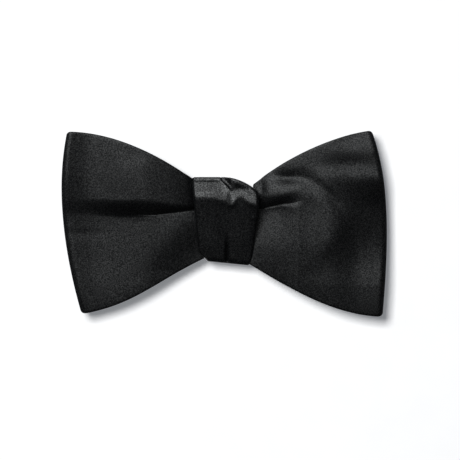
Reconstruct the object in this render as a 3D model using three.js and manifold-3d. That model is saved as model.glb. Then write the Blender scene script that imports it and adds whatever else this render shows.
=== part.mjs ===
// A clip-on butterfly bow tie in black satin, in millimetres.
// It stands as it is worn: +X is the right hand of someone looking at it, +Z is up, and the
// front faces -Y. The origin is the middle of the knot's flat back, which bears on the collar.
// The front bow is a strip of cloth that runs across the front and folds back at each tip, the
// rear bow is one flat blade behind it, a bound waist holds both, and the knot band wraps the
// waist together with a steel collar clip that has a hinged lever at each end.
import * as THREE from 'three';
import { mergeVertices } from 'three/addons/utils/BufferGeometryUtils.js';
import Module from 'manifold-3d';

const wasm = await Module();
wasm.setup();

// Cloth: satin, stiff interlining, satin, with air between them. Each ply lies between two
// distances in front of the middle of the cloth.
const SATIN = 0.4;
const INTERLINING = 0.6;
const PLY_GAP = 0.3;
const CLOTH_HALF = INTERLINING / 2 + PLY_GAP + SATIN;
const PLIES = {
  outer: [CLOTH_HALF - SATIN, CLOTH_HALF],
  middle: [-INTERLINING / 2, INTERLINING / 2],
  inner: [-CLOTH_HALF, SATIN - CLOTH_HALF],
};
const CLEAR = 0.3;

// The knot band, seen from the front and from the side.
const KNOT_DEPTH = 16.5;
const KNOT_TOP = 16.2;
const KNOT_BOTTOM = -15;
const KNOT_MIDDLE = (KNOT_TOP + KNOT_BOTTOM) / 2;
const KNOT_WALL = 2 * CLOTH_HALF;
const KNOT_HEM = 3;
const KNOT_STEPS = 6;
const SEAT_BOTTOM = -4.5;
const KNOT_RADII = { backTop: 3, backBottom: 3, frontTop: 8, frontBottom: 5 };

// Depths of the layers behind the knot's front wall, from the collar seat at y = 0 forwards.
const BLADE_Y = -5;
const REAR_LEAF_Y = -7.4;
const FRONT_WAIST_Y = -11.4;
const WAIST_TOP = 8.4;
const WAIST_BOTTOM = -10.4;
const EXIT_SHARE = 0.2;
const SHOULDER_SHARE = 0.22;

// The front bow's folded tips and the pleat that runs out of the knot.
const FOLD_RADIUS = 1.7;
const WING_LENGTH = 60;
const BULGE = 3;
const PLEAT_DEPTH = 1.5;
const PLEAT_HALF_WIDTH = 5;
const PLEAT_HEIGHT = 5;
const BLADE_INSET = 0.965;

// Sewing thread.
const THREAD_RADIUS = 0.22;
const BINDING_TURNS = 4;
const BINDING_PITCH = 1.1;
const BINDING_CLEAR = 1.5;
const BINDING_CORNER = 0.8;
const BINDING_STEPS = 36;
const STITCHES = 7;
const STITCH_RUN = 14;
const STITCH_HEIGHT = 2.4;
const STITCH_Z = -7.5;

// The collar clip: a sprung steel strip with two pinned levers.
const STEEL = 0.8;
const PLATE_REAR = -(KNOT_WALL + CLEAR);
const PLATE_HALF_LENGTH = 28.5;
const PLATE_HALF_WIDTH = 6;
const NECK_HALF_WIDTH = 4.4;
const NECK_HALF_LENGTH = 13.2;
const PIVOT_X = 25;
const PIVOT_Y = PLATE_REAR + 3;
const EAR_RADIUS = 1.8;
const EAR_HALF_FOOT = 2.6;
const LIP_RISE = 0.9;
const LIP_TEETH = 5;
const LEVER_HALF_WIDTH = 4.8;
const KNUCKLE_RADIUS = 1.4;
const TOE_RADIUS = 2.7;
const TOE_TEETH = 4;
const TOE_TOOTH_DEPTH = 0.6;
const HANDLE_LENGTH = 11.3;
const HANDLE_LIP = 0.9;
const PIN_RADIUS = 0.6;
const PIN_HOLE_RADIUS = 0.75;
const PIN_HEAD_RADIUS = 1.1;
const PIN_HEAD = 0.5;

const satin = new THREE.MeshStandardMaterial({ color: 0x0e0f11, roughness: 0.45, metalness: 0 });
const fleece = new THREE.MeshStandardMaterial({ color: 0x2a2a2c, roughness: 0.95, metalness: 0 });
const thread = new THREE.MeshStandardMaterial({ color: 0x141416, roughness: 0.6, metalness: 0 });
const nickel = new THREE.MeshStandardMaterial({ color: 0xb9bbbe, roughness: 0.28, metalness: 1 });

const bowTie = new THREE.Group();

function add(name, geometry, material) {
  const mesh = new THREE.Mesh(geometry, material);
  mesh.name = name;
  bowTie.add(mesh);
  return mesh;
}

// --- Solids from sections, and solids from cuts and joins ---------------------------------

// A closed solid through a row of sections. Each section is a closed outline with the same even
// number of points, ordered so that point j faces point count - 1 - j across it. Facing quads are
// split along the same diagonal, so neighbouring plies stay parallel.
function loft(sections, closed = false) {
  const count = sections[0].length;
  const triangles = [];
  const spans = closed ? sections.length : sections.length - 1;
  for (let i = 0; i < spans; i++) {
    const here = i * count;
    const next = ((i + 1) % sections.length) * count;
    for (let j = 0; j < count; j++) {
      const k = (j + 1) % count;
      const corners = [here + j, here + k, next + k, next + j];
      const [a, b, c, d] = j < count / 2 ? corners : [...corners.slice(1), corners[0]];
      triangles.push(a, b, c, a, c, d);
    }
  }
  if (!closed) {
    const last = (sections.length - 1) * count;
    for (let j = 0; j < count / 2 - 1; j++) {
      const across = count - 1 - j;
      triangles.push(across, across - 1, j + 1, across, j + 1, j);
      triangles.push(last + j, last + j + 1, last + across - 1);
      triangles.push(last + j, last + across - 1, last + across);
    }
  }
  const geometry = new THREE.BufferGeometry().setFromPoints(sections.flat());
  geometry.setIndex(signedVolume(sections.flat(), triangles) < 0 ? triangles.reverse() : triangles);
  geometry.computeVertexNormals();
  return geometry;
}

function signedVolume(points, triangles) {
  let volume = 0;
  for (let i = 0; i < triangles.length; i += 3) {
    const [a, b, c] = [0, 1, 2].map((k) => points[triangles[i + k]]);
    volume += a.dot(b.clone().cross(c)) / 6;
  }
  return volume;
}

function solid(geometry) {
  const bare = geometry.index ? geometry.toNonIndexed() : geometry.clone();
  bare.deleteAttribute('normal');
  bare.deleteAttribute('uv');
  const merged = mergeVertices(bare, 1e-4);
  return new wasm.Manifold(new wasm.Mesh({
    numProp: 3,
    vertProperties: merged.attributes.position.array,
    triVerts: new Uint32Array(merged.index.array),
  }));
}

function geometryOf(manifold) {
  const mesh = manifold.getMesh();
  const geometry = new THREE.BufferGeometry();
  geometry.setAttribute('position', new THREE.BufferAttribute(mesh.vertProperties, 3));
  geometry.setIndex(new THREE.BufferAttribute(mesh.triVerts, 1));
  geometry.computeVertexNormals();
  return geometry;
}

// A plate whose outline is drawn in X and Z and which lies between two depths in Y.
function plateXZ(shape, fromY, toY) {
  const geometry = new THREE.ExtrudeGeometry(shape, { depth: toY - fromY, bevelEnabled: false });
  return geometry.rotateX(Math.PI / 2).translate(0, toY, 0);
}

// A bar whose outline is drawn in X and Y and which lies between two heights in Z.
function barXY(shape, fromZ, toZ) {
  const settings = { depth: toZ - fromZ, bevelEnabled: false, curveSegments: 8 };
  return new THREE.ExtrudeGeometry(shape, settings).translate(0, 0, fromZ);
}

// --- The wings' outline, seen from the front -----------------------------------------------

// Each long edge runs straight from the waist to an exit inside the knot's side, steps out to the
// shoulder where the curve begins, and follows the curve to the tip.
function wing(exits, topPoints, bottomPoints, tipPoints) {
  const vector = ([x, z]) => new THREE.Vector2(x, z);
  const curve = (points) => new THREE.CubicBezierCurve(...points.map(vector));
  const [topExit, bottomExit] = exits.map(vector);
  return {
    top: { waist: new THREE.Vector2(0, WAIST_TOP), exit: topExit, curve: curve(topPoints) },
    bottom: { waist: new THREE.Vector2(0, WAIST_BOTTOM), exit: bottomExit, curve: curve(bottomPoints) },
    tip: curve(tipPoints),
  };
}

const LEFT_WING = wing(
  [[-12.7, 12.8], [-10.4, -11]],
  [[-12.9, 16.5], [-25.9, 25.5], [-41.4, 33.1], [-58.3, 33.4]],
  [[-10.6, -14.8], [-25.9, -22.1], [-32.5, -30.3], [-52.9, -34]],
  [[-52.9, -34], [-58.9, -12.3], [-62.5, 10.9], [-58.3, 33.4]],
);
const RIGHT_WING = wing(
  [[12.8, 9.4], [11, -12.4]],
  [[13, 15.6], [23.7, 24.5], [40.3, 31.6], [54.4, 33.6]],
  [[11.2, -16.7], [25.1, -25], [40, -34.2], [58.3, -35]],
  [[58.3, -35], [60.1, -12.1], [61.9, 11.4], [54.4, 33.6]],
);

const mix = THREE.MathUtils.lerp;
const smooth = THREE.MathUtils.smoothstep;

// A point on a wing's edge at share s from the waist to the tip.
function edgePoint({ waist, exit, curve }, s) {
  if (s <= EXIT_SHARE) return waist.clone().lerp(exit, s / EXIT_SHARE);
  if (s < SHOULDER_SHARE) {
    const part = (s - EXIT_SHARE) / (SHOULDER_SHARE - EXIT_SHARE);
    return exit.clone().lerp(curve.getPoint(0), part);
  }
  return curve.getPoint((s - SHOULDER_SHARE) / (1 - SHOULDER_SHARE));
}

// The point of a wing at share s from the waist to the tip and share w from bottom to top, as a
// patch between its four edges. inset below 1 draws the patch in towards its middle line.
function wingPoint({ top, bottom, tip }, s, w, inset = 1) {
  const up = 0.5 + (w - 0.5) * inset;
  const low = edgePoint(bottom, s);
  const high = edgePoint(top, s);
  const straight = new THREE.Vector2().lerpVectors(tip.getPoint(0), tip.getPoint(1), up);
  const bow = tip.getPoint(up).sub(straight).multiplyScalar(s);
  return new THREE.Vector2().lerpVectors(low, high, up).add(bow);
}

// --- The front bow --------------------------------------------------------------------------

// How far back the front leaf of a wing lies: a low hump that is flatter near its edges, with one
// pleat that starts deep at the knot and runs out before the tip.
function frontLeafY(s, w, z) {
  const foldY = REAR_LEAF_Y - 2 * FOLD_RADIUS;
  const hump = smooth(s, 0.15, 0.5) * (1 - smooth(s, 0.55, 1));
  const edge = 1 - 0.5 * (2 * w - 1) ** 2;
  const across = (z - PLEAT_HEIGHT) / PLEAT_HALF_WIDTH;
  const pleat = Math.exp(-across * across) * (1 - smooth(s, 0.45, 0.85));
  return mix(FRONT_WAIST_Y, foldY, smooth(s, 0.1, 1)) - BULGE * hump * edge + PLEAT_DEPTH * pleat;
}

// Shares of the way along a wing at which the cloth has a row of points: the waist, the exit
// beside the knot, and even steps from there to the start of the fold at the tip.
const WING_STEPS = 6;
const FOLD_STEPS = 5;
const FOLD_SHARE = 1 - FOLD_RADIUS / WING_LENGTH;
const REAR_END_SHARE = 0.03;

function wingShares(first, last) {
  const steps = Array.from({ length: WING_STEPS + 1 }, (_, i) => mix(SHOULDER_SHARE, last, i / WING_STEPS));
  return [first, EXIT_SHARE, ...steps];
}

// Stations round one wing's loop, from the middle of the front to the middle of the back: the
// share of the way to the tip, and the angle round the fold where the strip turns.
function loopStations() {
  const front = wingShares(0, FOLD_SHARE).slice(0, -1).map((s) => ({ s, turn: 0 }));
  const fold = Array.from({ length: FOLD_STEPS + 1 }, (_, i) => {
    const turn = (Math.PI * i) / FOLD_STEPS;
    return { s: 1 - (1 - Math.sin(turn)) * (1 - FOLD_SHARE), turn };
  });
  const rear = wingShares(REAR_END_SHARE, FOLD_SHARE).slice(0, -1).map((s) => ({ s, turn: Math.PI }));
  return [...front, ...fold, ...rear.reverse()];
}

function loopPoint(wing, { s, turn }, w) {
  const at = wingPoint(wing, s, w);
  if (turn > 0 && turn < Math.PI) {
    return new THREE.Vector3(at.x, REAR_LEAF_Y - FOLD_RADIUS * (1 + Math.cos(turn)), at.y);
  }
  return new THREE.Vector3(at.x, turn ? REAR_LEAF_Y : frontLeafY(s, w, at.y), at.y);
}

// The whole strip as rows of points: left rear, left tip, front, right tip, right rear.
function frontBowRows(rows) {
  const side = (wing) => loopStations().map((station) =>
    Array.from({ length: rows + 1 }, (_, j) => loopPoint(wing, station, j / rows)));
  return [...side(LEFT_WING).reverse(), ...side(RIGHT_WING).slice(1)];
}

// The rear bow as rows of points, a flat blade a little smaller than the front bow.
function rearBowRows(rows) {
  const side = (wing) => wingShares(0, BLADE_INSET).map((s) =>
    Array.from({ length: rows + 1 }, (_, j) => {
      const at = wingPoint(wing, s, j / rows, BLADE_INSET);
      return new THREE.Vector3(at.x, BLADE_Y, at.y);
    }));
  return [...side(LEFT_WING).reverse(), ...side(RIGHT_WING).slice(1)];
}

// One ply of cloth: the rows moved along their normals to two depths, and closed into a solid.
function ply(rows, [near, far]) {
  const last = rows.length - 1;
  const sections = rows.map((row, i) => {
    const before = rows[Math.max(i - 1, 0)];
    const after = rows[Math.min(i + 1, last)];
    const shifted = (depth) => row.map((point, j) => {
      const along = after[j].clone().sub(before[j]);
      const across = row[Math.min(j + 1, row.length - 1)].clone().sub(row[Math.max(j - 1, 0)]);
      return point.clone().addScaledVector(along.cross(across).normalize(), depth);
    });
    return [...shifted(near), ...shifted(far).reverse()];
  });
  return loft(sections);
}

function buildFrontBow() {
  const rows = frontBowRows(8);
  add('front_bow_outer_satin', ply(rows, PLIES.outer), satin);
  add('front_bow_interlining', ply(rows, PLIES.middle), fleece);
  add('front_bow_inner_satin', ply(rows, PLIES.inner), satin);
}

function buildRearBow() {
  const rows = rearBowRows(6);
  add('rear_bow_front_satin', ply(rows, PLIES.outer), satin);
  add('rear_bow_interlining', ply(rows, PLIES.middle), fleece);
  add('rear_bow_back_satin', ply(rows, PLIES.inner), satin);
}

// --- The knot -------------------------------------------------------------------------------

// The band's path round the waist, seen from the side in Y and Z, at a depth below its outside.
function knotPath(inset) {
  const back = -inset;
  const front = inset - KNOT_DEPTH;
  const top = KNOT_TOP - inset;
  const bottom = KNOT_BOTTOM + inset;
  const radius = (key) => KNOT_RADII[key] - inset;
  const path = new THREE.Path();
  path.moveTo(back, bottom + radius('backBottom'));
  path.lineTo(back, SEAT_BOTTOM);
  path.lineTo(back, top - radius('backTop'));
  path.absarc(back - radius('backTop'), top - radius('backTop'), radius('backTop'),
    0, Math.PI / 2, false);
  path.absarc(front + radius('frontTop'), top - radius('frontTop'), radius('frontTop'),
    Math.PI / 2, Math.PI, false);
  path.absarc(front + radius('frontBottom'), bottom + radius('frontBottom'), radius('frontBottom'),
    Math.PI, 1.5 * Math.PI, false);
  path.absarc(back - radius('backBottom'), bottom + radius('backBottom'), radius('backBottom'),
    1.5 * Math.PI, 2 * Math.PI, false);
  return path.getPoints(5).slice(0, -1);
}

// The knot narrows downwards, and its top falls away to the right.
function knotPoint(side, hem, at) {
  const z = at.y;
  const halfWidth = side < 0 ? 11 + 0.085 * z : 11.4 + 0.07 * z;
  const x = side * (halfWidth - hem);
  const fall = 0.029 * Math.max(x, 0) ** 2 * smooth(z, KNOT_MIDDLE, KNOT_TOP);
  const tilt = 0.1 * x * (1 - smooth(z, KNOT_BOTTOM, KNOT_MIDDLE));
  return new THREE.Vector3(x, at.x, z - fall - tilt);
}

// A band section is a list of [share of the half width, distance in from that side, depth],
// swept round the knot. acrossBand is the part of a section that runs from side to side.
function acrossBand(direction, hem, inset) {
  return Array.from({ length: KNOT_STEPS + 1 }, (_, i) =>
    [direction * ((2 * i) / KNOT_STEPS - 1), hem, inset]);
}

function knotBand(section) {
  const paths = new Map(section.map(([, , inset]) => [inset, knotPath(inset)]));
  const sections = knotPath(0).map((_, i) =>
    section.map(([side, hem, inset]) => knotPoint(side, hem, paths.get(inset)[i])));
  return loft(sections, true);
}

// The satin is a channel: outside wall, turned-in sides and hems, open along the inside.
function buildKnot() {
  const inside = KNOT_WALL - SATIN;
  add('knot_satin_wrap', knotBand([
    ...acrossBand(1, 0, 0),
    [1, 0, KNOT_WALL], [1, KNOT_HEM, KNOT_WALL], [1, KNOT_HEM, inside], [1, SATIN, inside],
    ...acrossBand(-1, SATIN, SATIN),
    [-1, SATIN, inside], [-1, KNOT_HEM, inside], [-1, KNOT_HEM, KNOT_WALL], [-1, 0, KNOT_WALL],
  ]), satin);
  const edge = SATIN + PLY_GAP;
  add('knot_interlining', knotBand([
    ...acrossBand(1, edge, edge),
    ...acrossBand(-1, edge, edge + INTERLINING),
  ]), fleece);
}

// --- Thread ---------------------------------------------------------------------------------

function threadAlong(curve, steps) {
  const section = new THREE.Shape().absarc(0, 0, THREAD_RADIUS, 0, 2 * Math.PI);
  const settings = { steps, curveSegments: 3, bevelEnabled: false, extrudePath: curve };
  return new THREE.ExtrudeGeometry(section, settings);
}

// The binding is one thread wound round both bows at the waist, inside the knot.
class Winding extends THREE.Curve {
  constructor(ring) {
    super();
    this.ring = ring;
  }

  getPoint(t, target = new THREE.Vector3()) {
    const turns = BINDING_TURNS * t;
    const at = this.ring.getPointAt(turns % 1);
    return target.set((t - 0.5) * BINDING_TURNS * BINDING_PITCH, at.x, at.y);
  }
}

function buildBinding() {
  const back = PLATE_REAR - STEEL - CLEAR - THREAD_RADIUS;
  const front = FRONT_WAIST_Y - CLOTH_HALF - CLEAR - THREAD_RADIUS;
  const top = WAIST_TOP + BINDING_CLEAR;
  const bottom = WAIST_BOTTOM - BINDING_CLEAR;
  const corner = BINDING_CORNER;
  const ring = new THREE.Path().moveTo(back, 0).lineTo(back, top - corner)
    .absarc(back - corner, top - corner, corner, 0, Math.PI / 2, false)
    .absarc(front + corner, top - corner, corner, Math.PI / 2, Math.PI, false)
    .absarc(front + corner, bottom + corner, corner, Math.PI, 1.5 * Math.PI, false)
    .absarc(back - corner, bottom + corner, corner, 1.5 * Math.PI, 2 * Math.PI, false)
    .lineTo(back, 0);
  add('waist_binding_thread', threadAlong(new Winding(ring), BINDING_TURNS * BINDING_STEPS), thread);
}

// The band's ends overlap at the back, low down, where one zigzag of thread closes them.
function buildClosingStitches() {
  const y = THREAD_RADIUS + CLEAR;
  const points = Array.from({ length: 2 * STITCHES + 1 }, (_, i) => new THREE.Vector3(
    (i / (2 * STITCHES) - 0.5) * STITCH_RUN,
    y,
    STITCH_Z + (i % 2 ? 0.5 : -0.5) * STITCH_HEIGHT,
  ));
  const zigzag = new THREE.CatmullRomCurve3(points);
  add('knot_closing_stitches', threadAlong(zigzag, 4 * STITCHES), thread);
}

// --- The collar clip ------------------------------------------------------------------------

function toothedStrip(fromZ, toZ, foot, rise, teeth) {
  const shape = new THREE.Shape().moveTo(fromZ, foot);
  const pitch = (toZ - fromZ) / teeth;
  for (let i = 0; i < teeth; i++) {
    shape.lineTo(fromZ + (i + 0.15) * pitch, foot + 0.3 * rise);
    shape.lineTo(fromZ + (i + 0.5) * pitch, foot + rise);
    shape.lineTo(fromZ + (i + 0.85) * pitch, foot + 0.3 * rise);
  }
  return shape.lineTo(toZ, foot);
}

function pinHole(radius, fromZ, toZ) {
  return solid(new THREE.CylinderGeometry(radius, radius, toZ - fromZ, 16)
    .rotateX(Math.PI / 2).translate(PIVOT_X, PIVOT_Y, (fromZ + toZ) / 2));
}

// One end of the strip: a wide arm, two ears for the pin, and a turned-up serrated lip.
function clipArm() {
  const arm = new THREE.Shape();
  arm.moveTo(NECK_HALF_LENGTH - 1, -NECK_HALF_WIDTH);
  arm.lineTo(NECK_HALF_LENGTH, -PLATE_HALF_WIDTH);
  arm.lineTo(PLATE_HALF_LENGTH - 1, -PLATE_HALF_WIDTH);
  arm.lineTo(PLATE_HALF_LENGTH, 1 - PLATE_HALF_WIDTH);
  arm.lineTo(PLATE_HALF_LENGTH, PLATE_HALF_WIDTH - 1);
  arm.lineTo(PLATE_HALF_LENGTH - 1, PLATE_HALF_WIDTH);
  arm.lineTo(NECK_HALF_LENGTH, PLATE_HALF_WIDTH);
  arm.lineTo(NECK_HALF_LENGTH - 1, NECK_HALF_WIDTH);
  let body = solid(plateXZ(arm, PLATE_REAR - STEEL, PLATE_REAR));
  const ear = new THREE.Shape();
  ear.moveTo(PIVOT_X - EAR_HALF_FOOT, PLATE_REAR - STEEL / 2);
  ear.lineTo(PIVOT_X + EAR_HALF_FOOT, PLATE_REAR - STEEL / 2);
  ear.lineTo(PIVOT_X + EAR_RADIUS, PIVOT_Y);
  ear.absarc(PIVOT_X, PIVOT_Y, EAR_RADIUS, 0, Math.PI, false);
  for (const side of [-1, 1]) {
    const [near, far] = [PLATE_HALF_WIDTH - STEEL, PLATE_HALF_WIDTH].map((z) => side * z).sort((a, b) => a - b);
    body = body.add(solid(barXY(ear, near, far)));
    body = body.subtract(pinHole(PIN_HOLE_RADIUS, near - 1, far + 1));
  }
  const lipHalf = PLATE_HALF_WIDTH - 1;
  const lip = toothedStrip(-lipHalf, lipHalf, PLATE_REAR - STEEL / 2, STEEL / 2 + LIP_RISE, LIP_TEETH);
  const lipBar = new THREE.ExtrudeGeometry(lip, { depth: STEEL, bevelEnabled: false })
    .rotateY(-Math.PI / 2).translate(PLATE_HALF_LENGTH, 0, 0);
  return body.add(solid(lipBar));
}

function buildClipPlate() {
  const neck = new THREE.Shape();
  neck.moveTo(-NECK_HALF_LENGTH, -NECK_HALF_WIDTH);
  neck.lineTo(NECK_HALF_LENGTH, -NECK_HALF_WIDTH);
  neck.lineTo(NECK_HALF_LENGTH, NECK_HALF_WIDTH);
  neck.lineTo(-NECK_HALF_LENGTH, NECK_HALF_WIDTH);
  const right = clipArm();
  const left = right.rotate([0, 180, 0]);
  const strip = solid(plateXZ(neck, PLATE_REAR - STEEL, PLATE_REAR));
  add('clip_base_plate', geometryOf(strip.add(right).add(left)), nickel);
}

// The lever is an angle bent round the pin: a long handle that lies over the arm and a short
// toothed toe that comes down on it. Its outline is drawn closed, in X and Y.
function leverSolid() {
  const outside = PIVOT_Y + KNUCKLE_RADIUS;
  const inside = outside - STEEL;
  const tip = PIVOT_X - HANDLE_LENGTH;
  const outline = new THREE.Shape();
  outline.moveTo(PIVOT_X, outside);
  outline.lineTo(tip + 2 * STEEL, outside);
  outline.lineTo(tip, outside + HANDLE_LIP);
  outline.lineTo(tip - 0.4 * STEEL, outside + HANDLE_LIP - 0.6 * STEEL);
  outline.lineTo(tip + 1.6 * STEEL, inside);
  outline.lineTo(PIVOT_X - KNUCKLE_RADIUS, inside);
  outline.lineTo(PIVOT_X - KNUCKLE_RADIUS, PIVOT_Y);
  outline.lineTo(PIVOT_X - STEEL / 2, PIVOT_Y - KNUCKLE_RADIUS);
  outline.lineTo(PIVOT_X - STEEL / 2, PIVOT_Y - TOE_RADIUS);
  outline.lineTo(PIVOT_X + STEEL / 2, PIVOT_Y - TOE_RADIUS);
  outline.lineTo(PIVOT_X + STEEL / 2, PIVOT_Y - KNUCKLE_RADIUS * 0.95);
  outline.absarc(PIVOT_X, PIVOT_Y, KNUCKLE_RADIUS, -1.2, Math.PI / 2, false);
  let lever = solid(barXY(outline, -LEVER_HALF_WIDTH, LEVER_HALF_WIDTH));
  lever = lever.subtract(pinHole(PIN_HOLE_RADIUS, -LEVER_HALF_WIDTH - 1, LEVER_HALF_WIDTH + 1));
  const pitch = (2 * LEVER_HALF_WIDTH) / (TOE_TEETH + 1);
  for (let i = 0; i <= TOE_TEETH; i++) {
    const z = -LEVER_HALF_WIDTH + (i + 0.5) * pitch;
    const edge = PIVOT_Y - TOE_RADIUS;
    const notch = new THREE.Shape();
    notch.moveTo(z - 0.35 * pitch, edge - 0.2);
    notch.lineTo(z + 0.35 * pitch, edge - 0.2);
    notch.lineTo(z, edge + TOE_TOOTH_DEPTH);
    const cutter = new THREE.ExtrudeGeometry(notch, { depth: 4 * STEEL, bevelEnabled: false })
      .rotateY(-Math.PI / 2).translate(PIVOT_X + 2 * STEEL, 0, 0);
    lever = lever.subtract(solid(cutter));
  }
  return lever;
}

function buildLevers() {
  const lever = leverSolid();
  add('right_clip_lever', geometryOf(lever), nickel);
  add('left_clip_lever', geometryOf(lever), nickel).rotation.y = Math.PI;
}

// A plain pin with a flattened head outside each ear.
function pinGeometry() {
  const ear = PLATE_HALF_WIDTH + 0.1;
  const end = ear + PIN_HEAD;
  const profile = [
    [0, -end], [0.75 * PIN_HEAD_RADIUS, -end], [PIN_HEAD_RADIUS, -end + 0.2],
    [PIN_HEAD_RADIUS, -ear], [PIN_RADIUS, -ear],
    [PIN_RADIUS, ear], [PIN_HEAD_RADIUS, ear],
    [PIN_HEAD_RADIUS, end - 0.2], [0.75 * PIN_HEAD_RADIUS, end], [0, end],
  ].map(([radius, z]) => new THREE.Vector2(radius, z));
  return new THREE.LatheGeometry(profile, 12).rotateX(Math.PI / 2);
}

function buildPins() {
  add('right_hinge_pin', pinGeometry(), nickel).position.set(PIVOT_X, PIVOT_Y, 0);
  add('left_hinge_pin', pinGeometry(), nickel).position.set(-PIVOT_X, PIVOT_Y, 0);
}

buildFrontBow();
buildRearBow();
buildBinding();
buildKnot();
buildClosingStitches();
buildClipPlate();
buildLevers();
buildPins();

export default bowTie;
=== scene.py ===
"""A clip-on butterfly bow tie in black satin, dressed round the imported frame.

The shape code works in millimetres in the frame's axes: +X is the viewer's right, +Z is up and
the front faces -Y. Numbers become metres where a mesh is made.
"""

import math

import bpy
import numpy as np
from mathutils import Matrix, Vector


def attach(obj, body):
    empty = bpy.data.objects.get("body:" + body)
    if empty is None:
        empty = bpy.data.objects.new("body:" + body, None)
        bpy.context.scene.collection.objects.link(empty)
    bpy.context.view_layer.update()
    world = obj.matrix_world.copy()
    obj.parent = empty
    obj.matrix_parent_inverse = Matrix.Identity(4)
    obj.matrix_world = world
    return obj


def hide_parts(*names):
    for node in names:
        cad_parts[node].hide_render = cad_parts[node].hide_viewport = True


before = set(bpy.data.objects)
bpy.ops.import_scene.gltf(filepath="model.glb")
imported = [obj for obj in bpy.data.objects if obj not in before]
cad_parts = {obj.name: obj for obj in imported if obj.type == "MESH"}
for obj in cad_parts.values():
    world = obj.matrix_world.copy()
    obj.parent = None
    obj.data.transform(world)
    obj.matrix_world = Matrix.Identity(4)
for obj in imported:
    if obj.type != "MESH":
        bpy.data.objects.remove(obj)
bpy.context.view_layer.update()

MM = 0.001

# How many waves make up the cloth's slow unevenness.
HILL_WAVES = 9

# Cloth: the plies' thicknesses, how far each satin lies from the middle of its stack, and how its
# long edges roll in over a short width to leave a gap at the seam.
SATIN = 0.32
SATIN_MIDDLE = 0.78
INTERLINING = 0.6
EDGE_ROLL = 0.6
EDGE_GAP = 0.2

# Depths of the layers, as in the frame.
REAR_LEAF_Y = -7.4
WAIST_Y = -11.4
BLADE_Y = -5.0

# The rear blade's size as a share of the wings in front of it.
BLADE_SIZE = 0.965

# The wings: their length, the fold at the tip, its corners, and the reach of a fold's lower lip
# in the outer satin and in the stiffer plies behind it.
WING_LENGTH = 60.0
FOLD_WIDTH = 1.1
CORNER_RADIUS = 1.3
LIP = 0.6
LINING_LIP = 2.5

# Shares of the way from the waist to the tip: where a wing leaves the knot, and where it folds.
EXIT = 0.2
SHOULDER = 0.215
FOLD_SHARE = 1 - FOLD_WIDTH / WING_LENGTH

# The share of the way up a wing at which its fold out of the knot runs.
CREASE_SHARE = 0.59

# How many points run along a wing inside the knot, round a fold and round an edge, and how many
# of those nearest an edge have no interlining behind them.
INSIDE_STEPS = 7
FOLD_STEPS = 13
EDGE_STEPS = 5
SEAM_STEPS = 6

# Each long edge: the waist, an exit inside the knot's side, then a cubic curve to the tip.
WAIST_TOP = (0, 8.4)
WAIST_BOTTOM = (0, -10.4)
LEFT_WING = {
    "top": [WAIST_TOP, (-11.6, 12.4), (-12.4, 16.2), (-25.9, 25.5), (-41.4, 33.1), (-57.5, 33.2)],
    "bottom": [
        WAIST_BOTTOM,
        (-7.2, -10.8),
        (-7.6, -13.5),
        (-25.9, -22.1),
        (-32.5, -30.3),
        (-52.1, -33.9),
    ],
    "tip": [(-52.1, -33.9), (-58.1, -12.3), (-61.7, 10.9), (-57.5, 33.2)],
}
RIGHT_WING = {
    "top": [WAIST_TOP, (10.6, 9.4), (11.0, 14.0), (23.7, 24.5), (40.3, 31.6), (53.7, 33.5)],
    "bottom": [WAIST_BOTTOM, (8.8, -11.4), (9.2, -15.6), (25.1, -25), (40, -34.2), (57.5, -34.9)],
    "tip": [(57.5, -34.9), (59.3, -12.1), (61.1, 11.4), (53.7, 33.5)],
}


# --- Small maths ---------------------------------------------------------------------------


def smooth(x, low, high):
    """A soft step from 0 at low to 1 at high."""
    t = np.clip((np.asarray(x, float) - low) / (high - low), 0, 1)
    return t * t * (3 - 2 * t)


def mix(a, b, t):
    """The value a share t of the way from a to b."""
    return a + (b - a) * t


def bezier(points, t):
    """A cubic curve's points at shares t."""
    p = np.asarray(points, float)
    t = np.asarray(t, float)[..., None]
    u = 1 - t
    return u**3 * p[0] + 3 * u * u * t * p[1] + 3 * u * t * t * p[2] + t**3 * p[3]


def bump(x, centre, width):
    """A smooth rise to 1 at the centre."""
    return np.exp(-(((x - centre) / width) ** 2))


def ridge(z, crest, above, below):
    """A rounded ridge along a crest line, with its own reach above and below it."""
    return np.where(z > crest, bump(z, crest, above), bump(z, crest, below))


def fold_rise(z, edge, reach):
    """Nothing at a fold's edge and below it, then a rise that eases out above it."""
    return 1 - np.clip(1 - (z - edge) / reach, 0, 1) ** 2 * (z > edge) - (z <= edge)


def fold_lip(z, edge, reach, lip):
    """A fold's depth: deepest at a crisp lower edge, running out above it and rolling off below."""
    v = z - edge
    below = np.minimum(v, 0)
    under = 0.85 * (1 - smooth(-below, 0, lip)) + 0.15 * np.exp(below / 2.4)
    return np.where(v > 0, np.clip(1 - v / reach, 0, 1) ** 2, under)


def hills(x, z, seed, size):
    """Low, slow unevenness, the same on every run."""
    rng = np.random.default_rng(seed)
    total = np.zeros_like(x)
    for _ in range(HILL_WAVES):
        angle = rng.uniform(0, 2 * math.pi)
        phase = rng.uniform(0, 6)
        scale = rng.uniform(0.6, 1.6)
        wave = (math.cos(angle) * x + math.sin(angle) * z) * scale / size
        total += np.sin(wave + phase) / HILL_WAVES
    return total


# --- Meshes and pieces ---------------------------------------------------------------------


def make_object(name, verts, faces, material, uvs=None):
    """A smooth-shaded mesh object from points and UVs in millimetres."""
    mesh = bpy.data.meshes.new(name)
    mesh.from_pydata((np.asarray(verts) * MM).tolist(), [], faces)
    if uvs is not None:
        layer = mesh.uv_layers.new(name="UVMap")
        index = np.empty(len(mesh.loops), np.int32)
        mesh.loops.foreach_get("vertex_index", index)
        layer.data.foreach_set("uv", (np.asarray(uvs)[index] * MM).astype(np.float32).ravel())
    mesh.polygons.foreach_set("use_smooth", [True] * len(mesh.polygons))
    mesh.materials.append(material)
    obj = bpy.data.objects.new(name, mesh)
    bpy.context.scene.collection.objects.link(obj)
    return obj


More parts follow.
